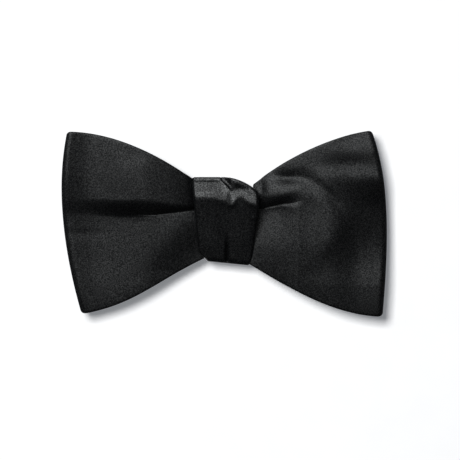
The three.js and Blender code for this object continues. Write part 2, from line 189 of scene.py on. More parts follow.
def grid_normals(points):
    """Unit normals of a grid of points."""
    along = np.gradient(points, axis=0)
    across = np.gradient(points, axis=1)
    n = np.cross(along, across)
    return n / np.maximum(np.linalg.norm(n, axis=2, keepdims=True), 1e-9)


def lengths(points, axis):
    """Distance run along one direction of a grid of points, from its first row or column."""
    steps = np.linalg.norm(np.diff(points, axis=axis), axis=2)
    total = np.cumsum(steps, axis=axis)
    pad = [(0, 0), (0, 0)]
    pad[axis] = (1, 0)
    return np.pad(total, pad)


def sheet_object(name, near, far, material):
    """A thin closed sheet between two grids of points that face each other."""
    rows, cols, _ = near.shape
    verts = np.concatenate([near.reshape(-1, 3), far.reshape(-1, 3)])
    flat_u = lengths(near, 0)
    flat_v = lengths(near, 1)
    flat_v = flat_v - flat_v[:, -1:] / 2
    uvs = np.tile(np.stack([flat_u, flat_v], axis=2).reshape(-1, 2), (2, 1))
    index = np.arange(rows * cols).reshape(rows, cols)
    other = index + rows * cols
    quads = []

    def patch(a, b, c, d):
        quads.append(np.stack([a, b, c, d], axis=-1).reshape(-1, 4))

    patch(index[:-1, :-1], index[1:, :-1], index[1:, 1:], index[:-1, 1:])
    patch(other[:-1, :-1], other[:-1, 1:], other[1:, 1:], other[1:, :-1])
    patch(index[:-1, 0], other[:-1, 0], other[1:, 0], index[1:, 0])
    patch(index[:-1, -1], index[1:, -1], other[1:, -1], other[:-1, -1])
    patch(index[0, :-1], index[0, 1:], other[0, 1:], other[0, :-1])
    patch(index[-1, :-1], other[-1, :-1], other[-1, 1:], index[-1, 1:])
    return make_object(name, verts, np.concatenate(quads).tolist(), material, uvs)


# --- Wings ---------------------------------------------------------------------------------


def edge_line(points, s):
    """Points on a wing's long edge at shares s from the waist to the tip."""
    waist, out, *curve = [np.array(p, float) for p in points]
    s = np.asarray(s, float)[..., None]
    inner = mix(waist, out, s / EXIT)
    step = mix(out, curve[0], (s - EXIT) / (SHOULDER - EXIT))
    outer = bezier(curve, np.clip((s[..., 0] - SHOULDER) / (1 - SHOULDER), 0, 1))
    return np.where(s <= EXIT, inner, np.where(s < SHOULDER, step, outer))


def wing_xz(wing, s, w):
    """Points in X and Z for shares s along the wing and w from its bottom to its top edge."""
    low = edge_line(wing["bottom"], s)
    high = edge_line(wing["top"], s)
    from_tip = np.clip((1 - s) * WING_LENGTH, 0, CORNER_RADIUS)
    cut = CORNER_RADIUS - np.sqrt(CORNER_RADIUS**2 - (CORNER_RADIUS - from_tip) ** 2)
    inward = (high - low) / np.linalg.norm(high - low, axis=-1, keepdims=True) * cut[..., None]
    low = low + inward
    high = high - inward
    start, *_, end = [np.array(p, float) for p in wing["tip"]]
    bow = bezier(wing["tip"], w) - mix(start, end, w[..., None])
    return mix(low, high, w[..., None]) + bow * (s**1.5)[..., None]


def ramp(x, start, soft):
    """Nothing before the start, then rising by one for one, with a rounded beginning."""
    return soft * np.logaddexp(0, (x - start) / soft)


def left_loop(x, z, lip):
    """How far the left wing's front leaf stands forward of its rear leaf."""
    d = -x
    edge, reach, depth = left_fold(d)
    # The lower bulge is pulled in towards the knot.
    pull = 0.22 * (1 - 0.4 * smooth(-z, 8, 22))
    near_knot = ramp(14 + 0.8 * np.clip(-z, 0, 18) - d, 0, 2.0)
    lower = 6.4 - pull * near_knot + 0.04 * np.clip(-z, 0, 40)
    lower += 0.5 * smooth(-z, 12, 32)
    # The upper bulge swells out of the knot and thins towards the tip.
    upper = 4.0 + 6.8 * (1 - np.exp(-np.clip(d - 8.8, 0, None) / 9)) - 3.8 * smooth(d, 31, 57)
    # The fold between them is crisp near the knot and soft further out.
    soft_rise = smooth(z, edge - 1.6, edge + 0.9 * reach)
    body = mix(lower, upper, mix(fold_rise(z, edge, reach), soft_rise, smooth(d, 21, 38)))
    tip = mix(1.2, 2.4, smooth(z, 0, 20)) * smooth(d, 46, 60) - 0.9 * smooth(d, 26, 52)
    # A faint crease runs in from the tip, and a shallow hollow lies near the top edge.
    line = 0.14 * ridge(z, -4.2, 1.6, 2.0) * smooth(d, 36, 56)
    hollow = 0.3 * bump(d, 34, 4) * bump(z, 25, 5)
    shape = body + tip - line - hollow - depth * fold_lip(z, edge, reach, lip)
    return shape + 0.2 * hills(x, z, 4, 7)


def left_fold(d):
    """The left wing's fold out of the knot: its lower edge, reach upwards and depth."""
    edge = 4.3 - 1.2 * smooth(d, 11, 26) + 1.0 * smooth(d, 38, 54)
    reach = 2.4 + 3.4 * smooth(d, 12, 32) - 1.0 * smooth(d, 44, 56)
    depth = 3.2 * smooth(d, 9, 13) * (1 - smooth(d, 15, 33))
    return edge, reach, depth


def right_fold(x):
    """The right wing's fold out of the knot: its lower edge, reach upwards and depth."""
    edge = 4.9 + 0.2 * (x - 12.4)
    reach = 1.6 + 2.6 * smooth(x, 12, 24)
    depth = (1.3 + 0.9 * bump(x, 20, 5)) * smooth(x, 9, 13) * (1 - smooth(x, 21, 30))
    return edge, reach, depth


def right_loop(x, z, lip):
    """How far the right wing's front leaf stands forward of its rear leaf."""
    body = 4.0 + 3.2 * smooth(x, 9, 24) + 2.0 * smooth(x, 20, 40)
    # Beyond a rounded, nose-shaped boundary the loop falls away to the tip.
    fall = 0.24 * smooth(z, -24, 1) * (1 - smooth(z, 3, 17))
    drop = fall * ramp(x, 43.0 - 0.03 * np.clip(z - 4, -30, 18) ** 2, 0.9)
    # The fold's lip widens and the fold runs out as it leaves the knot.
    edge, reach, depth = right_fold(x)
    lip = mix(lip, 2.4, smooth(x, 20, 27))
    slant = 1.3 * smooth(-z, -8, 11) * (1 - smooth(x, 38, 50)) - 0.3 * smooth(-z, 8, 36)
    # The shoulder above the fold bends down round the end of the bulge.
    crest = 9.6 + 0.06 * (x - 13) - 0.03 * np.clip(x - 26, 0, 20) ** 2
    near = ridge(z, crest, 5.8, 3.6)
    far = ridge(z, crest, 5.8, 16.0)
    shoulder = 2.1 * (1 - 0.5 * smooth(x, 22, 34)) * smooth(x, 9, 15) * (1 - smooth(x, 37, 48))
    shoulder = shoulder * mix(near, far, smooth(x, 19, 28))
    # A groove and a raised band run above it to the tip.
    groove_line = 16 - 0.035 * (x - 25) ** 2
    groove = 0.75 * bump(z, groove_line, 3.2) * smooth(x, 24, 31) * (1 - smooth(x, 39, 47))
    band = 0.45 * ridge(z, 15.8, 3.2, 5.6) * smooth(x, 28, 40)
    # Three hollows: the dent in the shoulder, the tuck at the knot and one near the upper corner.
    dent = 1.5 * bump(x, 23.5, 5) * bump(z, 16.0, 2.6)
    tucked = 1.1 * bump(x, 14.0, 1.7) * bump(z, 12.5, 3.6)
    hollow = 0.4 * bump(x, 45.5, 9) * bump(z, 21.2, 2.8)
    # The upper corner leans back and the lower one forward.
    corner = 2.4 * smooth(z, 25, 36) * smooth(x, 32, 48)
    corner = corner - 0.9 * smooth(-z, 18, 34) * smooth(x, 34, 50)
    shape = body - drop + slant + shoulder + band - groove - dent - tucked - hollow - corner
    return shape - depth * fold_lip(z, edge, reach, lip) + 0.2 * hills(x, z, 9, 7)


def overhang(side, x, z, lip):
    """How far a fold's inner cloth is carried down behind the lip that covers it."""
    edge, _, depth = left_fold(-x) if side < 0 else right_fold(x)
    v = z - edge
    inner = np.where(v > 0, np.exp(-np.maximum(v, 0) / 0.9), 1 - smooth(-v, 0, lip))
    return 1.7 * inner * np.minimum(depth / 1.3, 1)


def loop_height(side, s, w, x, z, lip):
    """The loop's height: the waist's inside the knot, and the wing's own outside it."""
    waist = REAR_LEAF_Y - WAIST_Y
    crown = 0.6 * (2 * w - 1) ** 4
    wing = (left_loop if side < 0 else right_loop)(x, z, lip)
    return mix(waist, wing - crown * smooth(s, 0.2, 0.4), smooth(s, 0.12, 0.26))


def fold_shares(count):
    """Shares from 0 to 1, closer together where the folds run along the wings."""
    fine = np.linspace(0, 1, 400)
    run = np.cumsum(1 + 2.5 * bump(fine, CREASE_SHARE, 0.1))
    return np.interp(np.linspace(0, 1, count), (run - run[0]) / (run[-1] - run[0]), fine)


def across_shares(height, count):
    """Shares from the bottom edge to the top, close together where the edges roll over."""
    turn = np.linspace(0, math.pi / 2, EDGE_STEPS)[:-1]
    rolled = EDGE_ROLL * (1 - np.cos(turn)) / height[:, None]
    start = EDGE_ROLL / height
    middle = mix(start[:, None], 1 - start[:, None], fold_shares(count)[None, :])
    w = np.concatenate([rolled, middle, 1 - rolled[:, ::-1]], axis=1)
    lift = np.concatenate([np.sin(turn), np.ones(count), np.sin(turn)[::-1]])
    return w, lift


def wing_rows(side, front_steps, rear_steps, count, lip):
    """The midsurface of one wing's loop, from the waist in front to the waist behind."""
    wing = LEFT_WING if side < 0 else RIGHT_WING
    inside = np.linspace(0, EXIT, INSIDE_STEPS)
    outside = np.linspace(SHOULDER, FOLD_SHARE, front_steps)
    turns = np.linspace(0, math.pi, FOLD_STEPS)
    fold = 1 - (1 - np.sin(turns)) * (1 - FOLD_SHARE)
    back = np.linspace(FOLD_SHARE, SHOULDER, rear_steps)[1:]
    back_inside = np.linspace(EXIT, 0.03, 5)
    s = np.concatenate([inside, outside[:-1], fold, back, back_inside])
    front_count = len(inside) + len(outside) - 1
    height = np.linalg.norm(edge_line(wing["top"], s) - edge_line(wing["bottom"], s), axis=1)
    w, lift = across_shares(height, count)
    grid_s = np.repeat(s[:, None], w.shape[1], axis=1)
    xz = wing_xz(wing, grid_s, w)
    x = xz[..., 0]
    z = xz[..., 1].copy()
    y = np.full_like(x, REAR_LEAF_Y)
    # The front leaf and the fold stand forward of the rear leaf, and the fold comes back to it.
    f = slice(0, front_count + len(turns))
    share = np.minimum(grid_s[f], FOLD_SHARE)
    height = loop_height(side, share, w[f], x[f], z[f], lip)
    level = np.concatenate([np.ones(front_count), (1 + np.cos(turns)) / 2])
    y[f] = REAR_LEAF_Y - height * level[:, None]
    z[f] = z[f] - overhang(side, x[f], z[f], lip) * smooth(share, EXIT, 0.26)
    return np.stack([x, y, z], axis=2), lift


def front_bow_rows(front_steps, rear_steps, count, lip):
    """The front bow's midsurface, from the left wing's waist behind to the right wing's."""
    left, lift = wing_rows(-1, front_steps, rear_steps, count, lip)
    right, _ = wing_rows(1, front_steps, rear_steps, count, lip)
    return np.concatenate([left[::-1], right[1:]]), lift


def rear_bow_rows(steps, count):
    """The flat rear blade's midsurface, a little smaller than the wings in front of it."""
    rows = []
    for wing in (LEFT_WING, RIGHT_WING):
        inside = np.linspace(0, EXIT, INSIDE_STEPS)
        s = np.concatenate([inside, np.linspace(SHOULDER, BLADE_SIZE, steps)])
        height = np.linalg.norm(edge_line(wing["top"], s) - edge_line(wing["bottom"], s), axis=1)
        w, lift = across_shares(height, count)
        inset = 0.5 + (w - 0.5) * BLADE_SIZE
        xz = wing_xz(wing, np.repeat(s[:, None], w.shape[1], axis=1), inset)
        wave = 0.35 * hills(xz[..., 0], xz[..., 1], 21, 11) * smooth(s, 0.3, 0.8)[:, None]
        rows.append(np.stack([xz[..., 0], BLADE_Y + wave, xz[..., 1]], axis=2))
    return np.concatenate([rows[0][::-1], rows[1][1:]]), lift


def satin_shell(name, rows, lift, side, material):
    """The satin on one side of the stack. Its long edges roll towards the middle to the seam."""
    normals = grid_normals(rows)
    offset = side * (EDGE_GAP + (SATIN_MIDDLE - EDGE_GAP) * lift)[None, :, None]
    half = SATIN / 2
    near = rows + normals * (offset + half)
    far = rows + normals * (offset - half)
    return sheet_object(name, near, far, material)


def interlining_sheet(name, rows, material):
    """The stiff layer between the satins, cut back from the seams and the ends."""
    normals = grid_normals(rows)
    core = slice(SEAM_STEPS, -SEAM_STEPS)
    near = (rows + normals * INTERLINING / 2)[1:-1, core]
    far = (rows - normals * INTERLINING / 2)[1:-1, core]
    return sheet_object(name, near, far, material)


# --- The knot ------------------------------------------------------------------------------

# The seam that closes the band behind, and the crest across its front.
SEAM_Z = -7.5
SEAM_GAP = 0.3
CREST_Z = 9.7

# Corners of the band's path round the waist as Y, Z and radius, from the seam upwards.
KNOT_CORNERS = [
    (0, 16.2, 3.0),
    (-14.2, 16.6, 1.2),
    (-18.2, CREST_Z, 5.0),
    (-13.8, -15.2, 2.2),
    (0, -15.2, 3.0),
]

# The band's thickness at its turned-in hems, and how far the hems reach in.
KNOT_WALL = 2.0
HEM = 4.0

# The fleece inside the satin band: in from its sides, and the depths of its two faces.
CORE_INSET = 1.1
CORE_FRONT = 0.65
CORE_BACK = 1.3

# How far the satin's rolled sides come in from the band's own sides.
WRAP_ROUND = (KNOT_WALL - SATIN) / 2


def rounded_path(start, corners, end, step):
    """An open path with rounded corners in even steps, as points and outward normals."""
    corner_steps = 25
    points = [np.array(start, float)]
    spots = [np.array(c[:2], float) for c in corners]
    for i, (_, _, radius) in enumerate(corners):
        here = spots[i]
        before = points[0] if i == 0 else spots[i - 1]
        after = np.array(end, float) if i == len(corners) - 1 else spots[i + 1]
        a = (before - here) / np.linalg.norm(before - here)
        b = (after - here) / np.linalg.norm(after - here)
        half = math.acos(np.clip(a @ b, -1, 1)) / 2
        reach = radius / math.tan(half)
        centre = here + (a + b) / np.linalg.norm(a + b) * radius / math.sin(half)
        first = here + a * reach - centre
        last = here + b * reach - centre
        turn = math.atan2(first[0] * last[1] - first[1] * last[0], first @ last)
        for t in np.linspace(0, turn, corner_steps):
            c = math.cos(t)
            s = math.sin(t)
            spoke = np.array([c * first[0] - s * first[1], s * first[0] + c * first[1]])
            points.append(centre + spoke)
    points.append(np.array(end, float))
    points = np.array(points)
    run = np.concatenate([[0], np.cumsum(np.linalg.norm(np.diff(points, axis=0), axis=1))])
    even = np.linspace(0, run[-1], int(run[-1] / step))
    path = np.stack([np.interp(even, run, points[:, k]) for k in (0, 1)], axis=1)
    along = np.gradient(path, axis=0)
    normals = np.stack([along[:, 1], -along[:, 0]], axis=1)
    return path, normals / np.linalg.norm(normals, axis=1, keepdims=True)


def knot_sides(z):
    """Where the band's left and right sides run."""
    foot = smooth(-z, 10, 15.4) ** 2
    left = -10.55 - 0.088 * z + 2.6 * foot
    right = 12.4 - 0.145 * np.clip(3.5 - z, 0, 20) - 0.5 * foot
    return left, right


def knot_crest(x):
    """The height of the fold between the knot's lit top and its darker front."""
    dip = 1.6 * bump(x, 2.5, 1.3) - 1.3 * bump(x, 6.0, 1.7)
    return CREST_Z - 0.9 * smooth(x, -5, 0) - dip - 1.5 * smooth(x, 6, 12)


def knot_relief(x, z):
    """How far the knot's front stands out from a plain band."""
    sides = -0.6 * (np.abs(x - 0.4) / 12) ** 6
    carried = 2.4 * smooth(x, -1, 6) * smooth(z, CREST_Z, 16.3)
    # A flat triangle of cloth above the crest, with a crease along its left side.
    level = 12.2 + 0.8 * np.clip(2.6 - x, 0, 9) + 0.42 * np.clip(x - 2.6, 0, 9)
    flat = (0.45 - 0.01 * x) * ramp(z, level, 0.25) * smooth(x, -2.2, -0.6)
    crease_share = smooth(x, -1.8, -0.8) * (1 - smooth(x, 2, 3))
    crease = 0.35 * bump(z, 15.9 - 0.8 * (x + 1.3), 0.55) * crease_share
    # The edge of the turned-in cloth at the top, and the pleat at the bottom with a swell each side.
    hem = -0.4 * bump(z, 15.4, 0.3) * (1 - smooth(x, -4, 0))
    dimple = -1.5 * bump(x, 0.9 + 0.03 * (z + 9), 0.6) * smooth(-z, 4.2, 11)
    swell = 0.4 * bump(x, -4.5, 4) * bump(z, -9, 7) + 0.35 * bump(x, 5.4, 3.6) * bump(z, -9, 7)
    pucker = 0.3 * bump(x, 10.7, 0.6) * bump(z, 1.4, 0.5)
    lean = 0.26 * ramp(x, 5.5, 0.8) * smooth(z, -10, 6)
    shape = sides + carried + flat + crease + hem + dimple + swell + pucker + lean
    return shape + 0.1 * hills(x, z, 5, 4)


def knot_points(across, share, depths, step):
    """The band at shares across its width, each with a distance in from its side and a depth."""
    start = (0, SEAM_Z + SEAM_GAP / 2)
    end = (0, SEAM_Z - SEAM_GAP / 2)
    path, normals = rounded_path(start, KNOT_CORNERS, end, step)
    y = path[:, 0][:, None] - normals[:, 0][:, None] * depths[None, :]
    z = path[:, 1][:, None] - normals[:, 1][:, None] * depths[None, :]
    left, right = knot_sides(path[:, 1][:, None])
    x = mix(left + across[None, :], right - across[None, :], share[None, :])
    front = smooth(-path[:, 0], 7, 13)[:, None]
    y = y - knot_relief(x, path[:, 1][:, None]) * front
    fall = 0.03 * np.clip(x + 1, 0, None) ** 2 * smooth(z, 9, 16.2)
    tilt = 0.1 * x * (1 - smooth(z, -15.2, 0))
    shift = (knot_crest(x) - CREST_Z) * bump(z, 9, 3.0) * front
    return np.stack([x, y, z - fall - tilt + shift], axis=2)


def knot_shell(name, material, step=0.45, count=64):
    """The satin band: its face, its rolled sides, and the hems turned in behind them."""
    turn = np.linspace(0, math.pi, 11)
    roll_in = WRAP_ROUND * (1 - np.sin(turn))
    roll_depth = SATIN / 2 + WRAP_ROUND * (1 + np.cos(turn))
    hem = np.linspace(HEM, WRAP_ROUND, 6)[:-1]
    hem_depth = np.full(len(hem), KNOT_WALL - SATIN / 2)
    face = np.linspace(0, 1, count)[1:-1]
    across = np.concatenate([hem, roll_in, np.full(len(face), WRAP_ROUND), roll_in[::-1], hem[::-1]])
    face_depth = np.full(len(face), SATIN / 2)
    depths = np.concatenate([hem_depth, roll_depth, face_depth, roll_depth[::-1], hem_depth])
    share = np.concatenate([np.zeros(len(hem) + len(turn)), face, np.ones(len(hem) + len(turn))])
    points = knot_points(across, share, depths, step)
    normals = grid_normals(points)
    return sheet_object(name, points + normals * SATIN / 2, points - normals * SATIN / 2, material)


def knot_core(name, material):
    """The fleece band inside the satin, clear of its hems."""
    count = 24
    step = 0.9
    share = np.linspace(0, 1, count)
    inset = np.full(count, CORE_INSET)
    near = knot_points(inset, share, np.full(count, CORE_FRONT), step)
    far = knot_points(inset, share, np.full(count, CORE_BACK), step)
    return sheet_object(name, near, far, material)


# --- Thread --------------------------------------------------------------------------------


def thread_object(name, route, radius, lay, material):
    """A two-strand twisted thread swept along a smooth route, with one twist in each lay."""
    route = np.asarray(route, float)
    count = len(route)
    tangent = np.gradient(route, axis=0)
    tangent /= np.linalg.norm(tangent, axis=1, keepdims=True)
    run = np.concatenate([[0], np.cumsum(np.linalg.norm(np.diff(route, axis=0), axis=1))])
    first = np.zeros_like(route)
    guide = np.cross(tangent[0], [0, 1, 0.3])
    for i in range(count):
        guide = guide - tangent[i] * (guide @ tangent[i])
        guide = guide / np.linalg.norm(guide)
        first[i] = guide
    second = np.cross(tangent, first)
    sides = 12
    strand_depth = 0.24
    angle = np.linspace(0, 2 * math.pi, sides, endpoint=False)[None, :]
    spin = 2 * math.pi * run[:, None] / lay
    size = radius * (1 + strand_depth * np.cos(2 * (angle - spin)))
    ring = route[:, None] + first[:, None] * (np.cos(angle) * size)[..., None]
    ring = ring + second[:, None] * (np.sin(angle) * size)[..., None]
    verts = ring.reshape(-1, 3)
    faces = []
    for i in range(count - 1):
        for j in range(sides):
            k = (j + 1) % sides
            faces.append([i * sides + j, i * sides + k, (i + 1) * sides + k, (i + 1) * sides + j])
    faces.append(list(range(sides))[::-1])
    faces.append(list(range((count - 1) * sides, count * sides)))
    uvs = np.stack([np.repeat(run, sides), np.tile(np.arange(sides) / sides * 2, count)], axis=1)
    return make_object(name, verts, faces, material, uvs)


def smooth_route(points, per_span):
    """A Catmull-Rom curve through points."""
    p = np.asarray(points, float)
    p = np.concatenate([[2 * p[0] - p[1]], p, [2 * p[-1] - p[-2]]])
    t = np.linspace(0, 1, per_span, endpoint=False)[:, None]
    route = []
    for a, b, c, d in zip(p, p[1:], p[2:], p[3:]):
        bend = (2 * a - 5 * b + 4 * c - d) * t * t + (3 * b - a - 3 * c + d) * t**3
        route.append(0.5 * (2 * b + (c - a) * t + bend))
    return np.concatenate(route + [p[-2:-1]])


def closing_stitches(material):
    """Overhand stitches across the seam where the band's ends meet, low on the knot's back."""
    half_width = 7.6
    half_height = 1.05
    slant = 0.35
    low_y = 0.16
    high_y = 0.42
    passes = 22
    points = []
    for i in range(passes + 1):
        x = mix(-half_width, half_width, i / passes)
        up = half_height if i % 2 == 0 else -half_height
        points.append((x, low_y, SEAM_Z + up))
        if i < passes:
            points.append((x + slant, high_y, SEAM_Z))
    route = smooth_route(points, 8)
    return thread_object("knot_closing_thread", route, 0.17, 0.9, material)


def waist_binding(material):
    """Sewing thread wound round both bows where they are pinched."""
    back = -3.66
    front = -13.1
    top = 9.6
    bottom = -11.7
    corner = 1.2
    ring = [(back, bottom + 1), (back, -1), (back, top - 1), (back - corner, top)]
    ring += [(front + corner, top), (front, top - 1), (front, -1), (front, bottom + 1)]
    ring += [(front + corner, bottom), (back - corner, bottom)]
    turns = 9
    half_width = 2.3
    total = turns * len(ring)
    points = []
    for i in range(total + 1):
        y, z = ring[i % len(ring)]
        points.append((mix(-half_width, half_width, i / total), y, z))
    route = smooth_route(points, 5)
    return thread_object("waist_thread", route, 0.2, 1.0, material)


# --- The collar clip -----------------------------------------------------------------------

# How far the pressed sheet's and the pins' edges are rounded.
SHEET_EDGE = 0.12
PIN_EDGE = 0.08

# The least angles, in degrees, of an edge that is rounded and of one that is shaded sharp.
ROUNDED_ANGLE = 35
SHARP_ANGLE = 32


def softened_copy(node, name, width, material):
    """A CAD node's shape with its pressed edges rounded."""
    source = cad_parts[node]
    obj = bpy.data.objects.new(name, source.data.copy())
    bpy.context.scene.collection.objects.link(obj)
    obj.data.materials.clear()
    obj.data.materials.append(material)
    bpy.context.view_layer.objects.active = obj
    weld = obj.modifiers.new("Weld", "WELD")
    weld.merge_threshold = 1e-6
    bevel = obj.modifiers.new("Bevel", "BEVEL")
    bevel.width = width * MM
    bevel.segments = 2
    bevel.limit_method = "ANGLE"
    bevel.angle_limit = math.radians(ROUNDED_ANGLE)
    with bpy.context.temp_override(object=obj, active_object=obj, selected_objects=[obj]):
        for modifier in ("Weld", "Bevel"):
            bpy.ops.object.modifier_apply(modifier=modifier)
        bpy.ops.object.shade_auto_smooth(angle=math.radians(SHARP_ANGLE))
    return obj


# --- Materials -----------------------------------------------------------------------------

# The satin's weave: the pitch of its diagonal ribs and of its yarns.
TWILL_PITCH = 0.32
YARN_PITCH = 0.21


class Shader:
    """One material's node tree, with short ways to add and join nodes."""

    def __init__(self, name):
        self.material = bpy.data.materials.new(name)
        self.material.use_nodes = True
        self.tree = self.material.node_tree
        self.bsdf = self.tree.nodes["Principled BSDF"]
        self.output = self.tree.nodes["Material Output"]

    def node(self, kind, **settings):
        made = self.tree.nodes.new(kind)
        for key, value in settings.items():
            if hasattr(made, key):
                setattr(made, key, value)
            else:
                made.inputs[key.replace("_", " ").title()].default_value = value
        return made

    def link(self, source, target):
        """Joins any two sockets."""
        self.tree.links.new(source, target)

    def set(self, **values):
        """Sets plain values on the shader's own sockets."""
        for key, value in values.items():
            self.bsdf.inputs[key.replace("_", " ")].default_value = value

    def feed(self, name, source):
        """Joins a source to one of the shader's own sockets."""
        self.link(source, self.bsdf.inputs[name])

    def coords(self, kind="Object"):
        return self.node("ShaderNodeTexCoord").outputs[kind]

    def noise(self, scale, detail=2.0, roughness=0.5):
        made = self.node("ShaderNodeTexNoise", Scale=scale, Detail=detail, Roughness=roughness)
        self.link(self.coords(), made.inputs["Vector"])
        return made.outputs["Fac"]

    def wave(self, pitch, direction):
        """Ribs across the cloth, with a pitch in millimetres."""
        scale = math.pi / (10 * pitch * MM)
        made = self.node("ShaderNodeTexWave", bands_direction=direction, Scale=scale)
        self.link(self.coords("UV"), made.inputs["Vector"])
        return made.outputs["Fac"]

    def stretched_noise(self, coords, stretch, scale, detail):
        """Noise drawn out into lines."""
        mapping = self.node("ShaderNodeMapping")
        mapping.inputs["Scale"].default_value = stretch
        self.link(coords, mapping.inputs["Vector"])
        made = self.node("ShaderNodeTexNoise", Scale=scale, Detail=detail)
        self.link(mapping.outputs["Vector"], made.inputs["Vector"])
        return made.outputs["Fac"]

    def yarns(self, along, across):
        """Noise drawn out along the cloth's length."""
        return self.stretched_noise(self.coords("UV"), (along, across, 1), 1.0, 2.0)

    def times(self, first, second):
        """The product of two sources."""
        made = self.node("ShaderNodeMath", operation="MULTIPLY")
        self.link(first, made.inputs[0])
        self.link(second, made.inputs[1])
        return made.outputs["Value"]

    def span(self, source, low, high, start=0.3, end=0.7):
        """Maps start to end of a source onto low to high."""
        made = self.node("ShaderNodeMapRange")
        for key, value in {"From Min": start, "From Max": end, "To Min": low, "To Max": high}.items():
            made.inputs[key].default_value = value
        self.link(source, made.inputs["Value"])
        return made.outputs["Result"]

    def blend(self, source, dark, light):
        """A colour from dark to light as the source goes from 0 to 1."""
        made = self.node("ShaderNodeMix", data_type="RGBA")
        made.inputs[6].default_value = (*dark, 1)
        made.inputs[7].default_value = (*light, 1)
        self.link(source, made.inputs["Factor"])
        return made.outputs[2]

    def colour(self, source, dark, light):
        self.feed("Base Color", self.blend(source, dark, light))

    def bumps(self, *layers):
        """Height layers as (source, strength, depth in mm), one over another."""
        normal = None
        for source, strength, depth in layers:
            made = self.node("ShaderNodeBump")
            made.inputs["Strength"].default_value = strength
            made.inputs["Distance"].default_value = depth * MM
            self.link(source, made.inputs["Height"])
            if normal:
                self.link(normal, made.inputs["Normal"])
            normal = made.outputs["Normal"]
        self.feed("Normal", normal)


def satin(name, roughness=0.46, anisotropic=0.3, level=0.5, streaks=False):
    """Black satin: a fine diagonal weave, glints from single yarns and a faint cool sheen."""
    s = Shader(name)
    tone = s.span(s.noise(140, 3), 0, 1)
    s.colour(tone, (0.0046, 0.0048, 0.0054), (0.0066, 0.0069, 0.0075))
    speckle = s.noise(2500, 2, 0.7)
    s.feed("Roughness", s.span(speckle, roughness - 0.07, roughness + 0.07))
    shine = s.span(speckle, 0.4 * level, 2.8 * level, 0.42, 0.7)
    if streaks:
        shine = s.times(shine, s.span(s.yarns(30, 1500), 0.75, 1.3))
    s.feed("Specular IOR Level", shine)
    s.set(Anisotropic=anisotropic)
    s.set(Sheen_Weight=0.05, Sheen_Roughness=0.35, Sheen_Tint=(0.5, 0.55, 0.62, 1))
    tangent = s.node("ShaderNodeTangent", direction_type="UV_MAP")
    s.feed("Tangent", tangent.outputs["Tangent"])
    s.bumps(
        (s.wave(TWILL_PITCH, "DIAGONAL"), 0.12, 0.03),
        (s.wave(YARN_PITCH, "Y"), 0.1, 0.02),
        (speckle, 0.5, 0.06),
        (s.noise(420, 2), 0.12, 0.1),
    )
    return s.material


def fleece(name):
    """Matt napped interlining."""
    s = Shader(name)
    fibres = s.noise(1700, 4, 0.75)
    s.colour(s.span(fibres, 0, 1), (0.02, 0.02, 0.022), (0.07, 0.07, 0.075))
    s.set(Roughness=0.96, Sheen_Weight=0.3, Sheen_Roughness=0.6, Specular_IOR_Level=0.2)
    s.bumps((fibres, 0.6, 0.12), (s.noise(300, 3), 0.4, 0.3))
    return s.material


def sewing_thread(name):
    """Black thread with a little fuzz."""
    s = Shader(name)
    fuzz = s.noise(5200, 2)
    s.colour(s.span(fuzz, 0, 1), (0.008, 0.008, 0.009), (0.022, 0.022, 0.024))
    s.feed("Roughness", s.span(fuzz, 0.48, 0.62))
    s.set(Sheen_Weight=0.15, Sheen_Roughness=0.4)
    s.bumps((s.noise(3800, 2), 0.4, 0.04))
    return s.material


def plated_steel(name, base, roughness, brush):
    """Steel with fine lines along X or Z and dull worn patches."""
    s = Shader(name)
    stretch = (1, 14, 14) if brush == "X" else (14, 14, 1)
    lines = s.stretched_noise(s.coords(), stretch, 420.0, 3.0)
    wear = s.noise(260, 4, 0.6)
    dull = tuple(c * 0.72 for c in base)
    s.colour(s.span(wear, 0, 1), dull, base)
    s.feed("Roughness", s.span(lines, roughness - 0.07, roughness + 0.1))
    s.set(Metallic=1.0)
    s.bumps((lines, 0.1, 0.02), (wear, 0.04, 0.04))
    return s.material


def paper(name, glow):
    """A white backdrop that shows only its front, so it never hides the object from behind."""
    s = Shader(name)
    s.colour(s.span(s.noise(90, 3), 0, 1), (0.93, 0.93, 0.93), (0.95, 0.95, 0.95))
    s.set(Roughness=1.0, Specular_IOR_Level=0.0)
    s.set(Emission_Color=glow, Emission_Strength=1.0)
    clear = s.node("ShaderNodeBsdfTransparent")
    switch = s.node("ShaderNodeMixShader")
    s.link(s.node("ShaderNodeNewGeometry").outputs["Backfacing"], switch.inputs["Fac"])
    s.link(s.bsdf.outputs["BSDF"], switch.inputs[1])
    s.link(clear.outputs["BSDF"], switch.inputs[2])
    s.link(switch.outputs["Shader"], s.output.inputs["Surface"])
    return s.material


# --- Stage, light and camera ---------------------------------------------------------------

# The camera's aim in X and Z, the width that it takes in there, and its distance.
VIEW_CENTRE = (2.0, -3.0)
VIEW_WIDTH = 170.1
VIEW_DISTANCE = 1200.0
SENSOR_WIDTH = 36

# The wall behind the bow.
WALL_Y = 4.4
WALL_SIZE = 1000.0


def aim(obj, place, target):
    """Puts a light or camera at a place, looking at a target."""
    obj.location = Vector(place) * MM
    obj.rotation_euler = (Vector(target) - Vector(place)).to_track_quat("-Z", "Y").to_euler()


def area_light(name, place, target, size, power, receivers, colour=(1, 1, 1)):
    """A rectangular light, in millimetres, that lights only the receivers and isn't seen itself."""
    light = bpy.data.lights.new(name, "AREA")
    light.shape = "RECTANGLE"
    light.size = size[0] * MM
    light.size_y = size[1] * MM
    light.energy = power
    light.color = colour
    obj = bpy.data.objects.new(name, light)
    bpy.context.scene.collection.objects.link(obj)
    aim(obj, place, target)
    obj.light_linking.receiver_collection = receivers
    obj.visible_camera = False


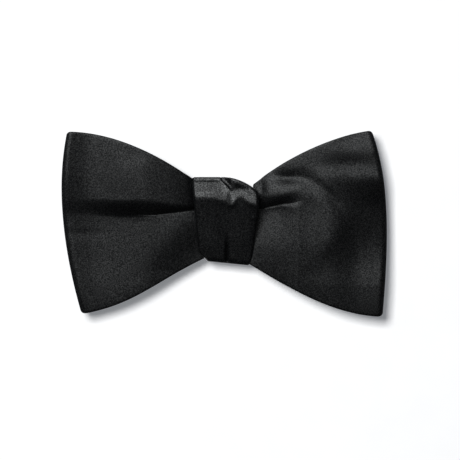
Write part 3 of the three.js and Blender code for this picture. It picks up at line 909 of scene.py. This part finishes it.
def build_stage():
    """The white wall close behind the bow, and two light groups: the wall, and all but the wall."""
    white = paper("backdrop_paper", (0.2, 0.208, 0.22, 1))
    half = WALL_SIZE / 2
    corners = [(x, WALL_Y, z) for x, z in ((-half, -half), (half, -half), (half, half), (-half, half))]
    wall = make_object("backdrop", corners, [[0, 1, 2, 3]], white)
    wall.visible_glossy = False
    wall.visible_shadow = False
    only_stage = bpy.data.collections.new("lit_stage")
    not_stage = bpy.data.collections.new("lit_object")
    only_stage.objects.link(wall)
    not_stage.objects.link(wall)
    for item in not_stage.collection_objects:
        item.light_linking.link_state = "EXCLUDE"
    return only_stage, not_stage


def build_lights(only_stage, not_stage, rear_pieces):
    """A small light for the wall's shadow, soft ones for the satin, and two behind for the back."""
    middle = (0, 0, 0)
    satin_front = (0, -8, 0)
    cool = (0.97, 1, 1.01)
    blue = (0.94, 0.97, 1)
    area_light("wall_key", (-218, -1500, 196), middle, (280, 280), 20.4, only_stage)
    area_light("satin_key", (-290, -745, 600), satin_front, (900, 1000), 6.8, not_stage, cool)
    area_light("front_fill", (300, -1300, -100), satin_front, (900, 900), 0.1, not_stage, blue)
    area_light("rear_dome", (0, 900, 250), middle, (2400, 1800), 16.0, rear_pieces)
    area_light("rear_key", (-300, 900, 600), middle, (500, 400), 5.0, rear_pieces)


def build_world():
    """White where the camera sees it, and nearly dark for the light that it gives."""
    world = bpy.data.worlds.new("studio")
    world.use_nodes = True
    nodes = world.node_tree.nodes
    links = world.node_tree.links
    dim = nodes["Background"]
    dim.inputs["Color"].default_value = (0.93, 0.97, 1, 1)
    dim.inputs["Strength"].default_value = 0.025
    seen = nodes.new("ShaderNodeBackground")
    seen.inputs["Color"].default_value = (1, 1, 1, 1)
    path = nodes.new("ShaderNodeLightPath")
    switch = nodes.new("ShaderNodeMixShader")
    links.new(path.outputs["Is Camera Ray"], switch.inputs["Fac"])
    links.new(dim.outputs["Background"], switch.inputs[1])
    links.new(seen.outputs["Background"], switch.inputs[2])
    links.new(switch.outputs["Shader"], nodes["World Output"].inputs["Surface"])
    bpy.context.scene.world = world


def build_camera():
    """A long lens straight in front, and plain colours."""
    data = bpy.data.cameras.new("camera")
    data.sensor_width = SENSOR_WIDTH
    data.lens = SENSOR_WIDTH * VIEW_DISTANCE / VIEW_WIDTH
    data.clip_end = 10
    camera = bpy.data.objects.new("camera", data)
    bpy.context.scene.collection.objects.link(camera)
    x, z = VIEW_CENTRE
    aim(camera, (x, -VIEW_DISTANCE - 10, z), (x, 0, z))
    bpy.context.scene.camera = camera
    bpy.context.scene.view_settings.view_transform = "Standard"
    bpy.context.scene.view_settings.look = "None"


# --- The pieces ----------------------------------------------------------------------------


def place(obj, body, slot, *nodes, rear=True):
    """Rides a piece on its body in place of its CAD nodes, and lets the rear lights reach it."""
    if rear:
        rear_pieces.objects.link(obj)
    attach(obj, body)
    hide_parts(*nodes)
    return obj


def build_front_bow(bow_satin, core):
    lining = satin("black_satin_lining", roughness=0.5, anisotropic=0.2)
    rows, lift = front_bow_rows(100, 26, 158, LIP)
    outer = satin_shell("front_bow_satin", rows, lift, 1, bow_satin)
    place(outer, "bow", "bow_satin", "front_bow_outer_satin", rear=False)
    rows, lift = front_bow_rows(60, 24, 72, LINING_LIP)
    inner = satin_shell("front_bow_lining", rows, lift, -1, lining)
    place(inner, "bow", "lining_satin", "front_bow_inner_satin", rear=False)
    stiff = interlining_sheet("front_bow_stiffener", rows, core)
    place(stiff, "bow", "interlining", "front_bow_interlining")


def build_rear_bow(bow_satin, core):
    rows, lift = rear_bow_rows(40, 50)
    front = satin_shell("rear_bow_face", rows, lift, 1, bow_satin)
    place(front, "bow", "bow_satin", "rear_bow_front_satin")
    back = satin_shell("rear_bow_back", rows, lift, -1, bow_satin)
    place(back, "bow", "bow_satin", "rear_bow_back_satin")
    stiff = interlining_sheet("rear_bow_stiffener", rows, core)
    place(stiff, "bow", "interlining", "rear_bow_interlining")


def build_bows():
    bow_satin = satin("black_satin")
    core = fleece("napped_interlining")
    build_front_bow(bow_satin, core)
    build_rear_bow(bow_satin, core)


def build_knot():
    band = satin("black_satin_knot", roughness=0.31, anisotropic=0.4, level=0.58, streaks=True)
    wrap = knot_shell("knot_satin", band)
    place(wrap, "bow", "knot_satin", "knot_satin_wrap")
    core = knot_core("knot_stiffener", fleece("knot_napped_interlining"))
    place(core, "bow", "interlining", "knot_interlining")


def build_threads():
    cotton = sewing_thread("black_thread")
    place(closing_stitches(cotton), "bow", "thread", "knot_closing_stitches")
    place(waist_binding(cotton), "bow", "thread", "waist_binding_thread")


def build_clip():
    plate = plated_steel("nickel_plate", (0.66, 0.64, 0.6), 0.27, "X")
    lever = plated_steel("nickel_lever", (0.7, 0.68, 0.64), 0.22, "X")
    pin = plated_steel("drawn_pin", (0.52, 0.51, 0.5), 0.34, "Z")
    clip = softened_copy("clip_base_plate", "clip_plate", SHEET_EDGE, plate)
    place(clip, "bow", "clip_steel", "clip_base_plate")
    for side in ("left", "right"):
        node = f"{side}_clip_lever"
        leaf = softened_copy(node, f"{side}_lever_plate", SHEET_EDGE, lever)
        place(leaf, f"{side}_lever", "clip_steel", node)
        node = f"{side}_hinge_pin"
        rod = softened_copy(node, f"{side}_pin", PIN_EDGE, pin)
        place(rod, "bow", "pin_steel", node)


build_camera()
only_stage, not_stage = build_stage()
# Every piece but the front bow's satins, which the lights behind would edge with white.
rear_pieces = bpy.data.collections.new("lit_rear")
build_lights(only_stage, not_stage, rear_pieces)
build_world()
build_bows()
build_knot()
build_threads()
build_clip()
